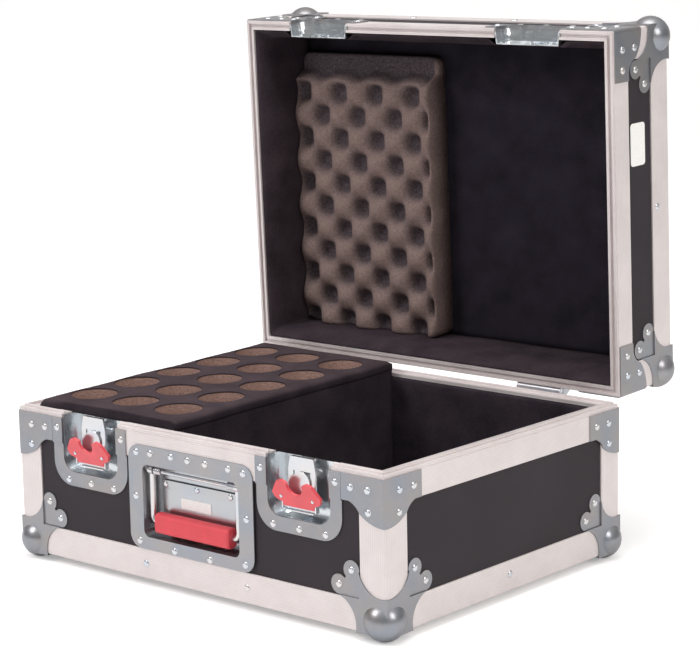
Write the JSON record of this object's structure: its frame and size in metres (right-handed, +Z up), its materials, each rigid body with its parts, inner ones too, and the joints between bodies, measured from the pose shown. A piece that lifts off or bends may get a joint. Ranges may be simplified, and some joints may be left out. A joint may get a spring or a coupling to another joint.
{
  "type": "microphone flight case",
  "caption": "Hard flight case for hand-held microphones: aluminium-edged black panels, ball corners, hinged lid, butterfly latches, spring handle and a foam tray of round pockets.",
  "frame": {"origin": "on the floor under the middle of the base, between the lowest points of the four lower ball corners", "axes": "+X to the right seen from the handle side, +Y from the handle side to the hinge side, +Z up; the lid stands open"},
  "size_m": [0.4954, 0.4691, 0.5326],
  "materials": {
    "black_panel": "black laminate on plywood, fine stipple, semi-matt",
    "edge_aluminium": "anodised extrusion with fine length-wise ridges",
    "zinc_steel": "zinc-plated pressed steel",
    "bright_steel": "bright plated wire",
    "red_wing": "red enamel",
    "red_grip": "matt red moulding",
    "lining_felt": "black felted lining",
    "tray_cloth": "black cloth stretched on foam",
    "foam": "grey-brown open-cell foam"
  },
  "bodies": {
    "base": {"base_back_panel": "black_panel", "base_back_rim": "edge_aluminium", "base_ball_corner_back_left": "zinc_steel", "base_ball_corner_back_right": "zinc_steel", "base_ball_corner_front_left": "zinc_steel", "base_ball_corner_front_right": "zinc_steel", "base_bottom_edging": "edge_aluminium", "base_bottom_panel": "black_panel", "base_corner_posts": "edge_aluminium", "base_floor_lining": "lining_felt", "base_front_panel": "black_panel", "base_front_rim": "edge_aluminium", "base_left_panel": "black_panel", "base_left_rim": "edge_aluminium", "base_right_panel": "black_panel", "base_right_rim": "edge_aluminium", "base_rim_braces": "zinc_steel", "base_wall_lining": "lining_felt", "handle_dish": "zinc_steel", "handle_rod": "bright_steel", "handle_springs": "bright_steel", "handle_stop_plate": "zinc_steel", "hinge_base_leaves": "zinc_steel", "hinge_pins": "bright_steel", "latch_left_dish": "zinc_steel", "latch_right_dish": "zinc_steel", "mic_tray_cover": "tray_cloth", "mic_tray_divider": "lining_felt", "mic_tray_foam": "foam"},
    "lid": {"hinge_lid_leaves": "zinc_steel", "latch_keeper_left": "zinc_steel", "latch_keeper_right": "zinc_steel", "lid_back_panel": "black_panel", "lid_back_rim": "edge_aluminium", "lid_ball_corner_back_left": "zinc_steel", "lid_ball_corner_back_right": "zinc_steel", "lid_ball_corner_front_left": "zinc_steel", "lid_ball_corner_front_right": "zinc_steel", "lid_corner_posts": "edge_aluminium", "lid_foam_pad": "foam", "lid_front_panel": "black_panel", "lid_front_rim": "edge_aluminium", "lid_left_panel": "black_panel", "lid_left_rim": "edge_aluminium", "lid_right_panel": "black_panel", "lid_right_rim": "edge_aluminium", "lid_rim_braces": "zinc_steel", "lid_top_edging": "edge_aluminium", "lid_top_lining": "lining_felt", "lid_top_panel": "black_panel", "lid_wall_lining": "lining_felt"},
    "handle": {"handle_bail": "bright_steel", "handle_grip": "red_grip"},
    "latch_left_turn_plate": {"latch_left_rotor": "zinc_steel"},
    "latch_left_wing_body": {"latch_left_wing": "red_wing"},
    "latch_left_drawbar_body": {"latch_left_drawbar": "zinc_steel"},
    "latch_right_turn_plate": {"latch_right_rotor": "zinc_steel"},
    "latch_right_wing_body": {"latch_right_wing": "red_wing"},
    "latch_right_drawbar_body": {"latch_right_drawbar": "zinc_steel"}
  },
  "joints": [
    {"name": "lid_hinge", "type": "hinge", "parent": "base", "child": "lid", "pos_m": [0, 0.1832, 0.1592], "axis": [1, 0, 0], "range_deg": [0, 88]},
    {"name": "handle_swing", "type": "hinge", "parent": "base", "child": "handle", "pos_m": [0, -0.174, 0.11593], "axis": [-1, 0, 0], "range_deg": [0, 90], "stiffness_Nm_per_rad": 0.4},
    {"name": "latch_left_turn", "type": "hinge", "parent": "base", "child": "latch_left_turn_plate", "pos_m": [-0.1375, -0.171, 0.133], "axis": [0, -1, 0], "range_deg": [0, 180]},
    {"name": "latch_left_wing_fold", "type": "hinge", "parent": "latch_left_turn_plate", "child": "latch_left_wing_body", "pos_m": [-0.1375, -0.1778, 0.1115], "axis": [1, 0, 0], "range_deg": [-18, 72]},
    {"name": "latch_left_draw", "type": "slide", "parent": "base", "child": "latch_left_drawbar_body", "axis": [0, 0.4067, -0.9135], "range_m": [0, 0.00657]},
    {"name": "latch_right_turn", "type": "hinge", "parent": "base", "child": "latch_right_turn_plate", "pos_m": [0.1375, -0.171, 0.133], "axis": [0, -1, 0], "range_deg": [0, 180]},
    {"name": "latch_right_wing_fold", "type": "hinge", "parent": "latch_right_turn_plate", "child": "latch_right_wing_body", "pos_m": [0.1375, -0.1778, 0.1115], "axis": [1, 0, 0], "range_deg": [-18, 72]},
    {"name": "latch_right_draw", "type": "slide", "parent": "base", "child": "latch_right_drawbar_body", "axis": [0, 0.4067, -0.9135], "range_m": [0, 0.00657]}
  ],
  "couplings": [
    {"joint": "latch_left_turn", "follows": "latch_left_draw", "rad_per_m": 478.31},
    {"joint": "latch_right_turn", "follows": "latch_right_draw", "rad_per_m": 478.31}
  ]
}
